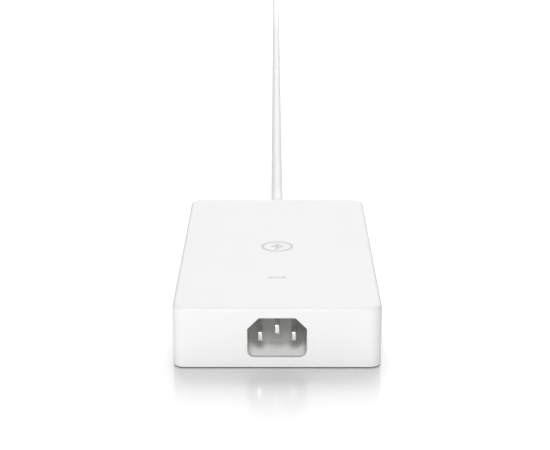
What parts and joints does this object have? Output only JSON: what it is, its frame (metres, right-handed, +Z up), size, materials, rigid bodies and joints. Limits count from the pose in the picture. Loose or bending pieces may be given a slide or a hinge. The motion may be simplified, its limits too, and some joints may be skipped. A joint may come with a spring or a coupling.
{
  "type": "poe injector",
  "caption": "Flat slab power-over-Ethernet injector with a recessed mains inlet at one end, network jacks at the other, and a latched patch cord ending in a loose coil.",
  "frame": {"origin": "centre of the case's footprint, on the surface that it stands on", "axes": "+Y from the mains inlet end to the network jack end, +Z up, +X to the right seen from the inlet end"},
  "size_m": [0.1406, 1.0916, 0.0268],
  "materials": {
    "case": "fine satin white moulding",
    "inlet_plastic": "satin white moulding",
    "plated_pin": "bright nickel plate",
    "screw_steel": "zinc plate",
    "rubber": "matt",
    "print_grey": "printed ink",
    "fuse_ceramic": "matt",
    "disc_coating": "dipped epoxy",
    "ferrite": "matt",
    "copper_wire": "enamelled wire",
    "capacitor_box": "satin",
    "capacitor_sleeve": "shrink sleeve",
    "chip_black": "moulded epoxy",
    "aluminium": "rolled",
    "winding_tape": "polyester tape",
    "bobbin_plastic": "moulded",
    "board_green": "solder mask",
    "insulation_film": "film",
    "jack_plastic": "moulded",
    "jack_shield": "tin plate",
    "gold_contact": "gold flash",
    "plug_clear": "clear polycarbonate",
    "cord_white": "soft satin jacket"
  },
  "bodies": {
    "injector": {"top_cover": "case", "base_cover": "case", "case_screws": "screw_steel", "rubber_feet": "rubber", "top_emblem": "print_grey", "output_mark": "print_grey", "inlet_body": "inlet_plastic", "line_pin": "plated_pin", "neutral_pin": "plated_pin", "earth_pin": "plated_pin", "fuse": "fuse_ceramic", "varistor": "disc_coating", "choke_core": "ferrite", "choke_windings": "copper_wire", "x_capacitor": "capacitor_box", "y_capacitors": "disc_coating", "bridge_rectifier": "chip_black", "bulk_capacitors": "capacitor_sleeve", "boost_choke_core": "ferrite", "boost_choke_winding": "copper_wire", "primary_heatsink": "aluminium", "primary_switches": "chip_black", "transformer_core": "ferrite", "transformer_winding": "winding_tape", "transformer_bobbin": "bobbin_plastic", "control_chip": "chip_black", "optocouplers": "chip_black", "secondary_heatsink": "aluminium", "output_rectifiers": "chip_black", "output_capacitors": "capacitor_sleeve", "output_choke": "copper_wire", "main_board": "board_green", "board_screws": "screw_steel", "insulation_sheet": "insulation_film", "heat_spreader": "aluminium", "poe_controller": "chip_black", "line_transformers": "chip_black", "surge_suppressors": "chip_black", "poe_jack_housing": "jack_plastic", "poe_jack_shield": "jack_shield", "poe_jack_contacts": "gold_contact", "data_jack_housing": "jack_plastic", "data_jack_shield": "jack_shield", "data_jack_contacts": "gold_contact"},
    "patch_cord": {"near_plug_body": "plug_clear", "near_plug_contacts": "gold_contact", "near_plug_boot": "cord_white", "cord_run": "cord_white", "cord_coil": "cord_white", "cord_tail": "cord_white", "far_plug_body": "plug_clear", "far_plug_contacts": "gold_contact", "far_plug_boot": "cord_white"},
    "near_latch": {"near_plug_latch": "plug_clear"},
    "far_latch": {"far_plug_latch": "plug_clear"}
  },
  "joints": [
    {"name": "plug_pull", "type": "slide", "parent": "injector", "child": "patch_cord", "axis": [0, 1, 0], "range_m": [0, 0.02]},
    {"name": "near_latch_press", "type": "hinge", "parent": "patch_cord", "child": "near_latch", "pos_m": [0, 0.068, 0.0153], "axis": [-1, 0, 0], "range_deg": [0, 6], "stiffness_Nm_per_rad": 0.3},
    {"name": "far_latch_press", "type": "hinge", "parent": "patch_cord", "child": "far_latch", "pos_m": [-0.0915, 0.9163, 0.0071], "axis": [-1, 0, 0], "range_deg": [0, 6], "stiffness_Nm_per_rad": 0.3}
  ]
}
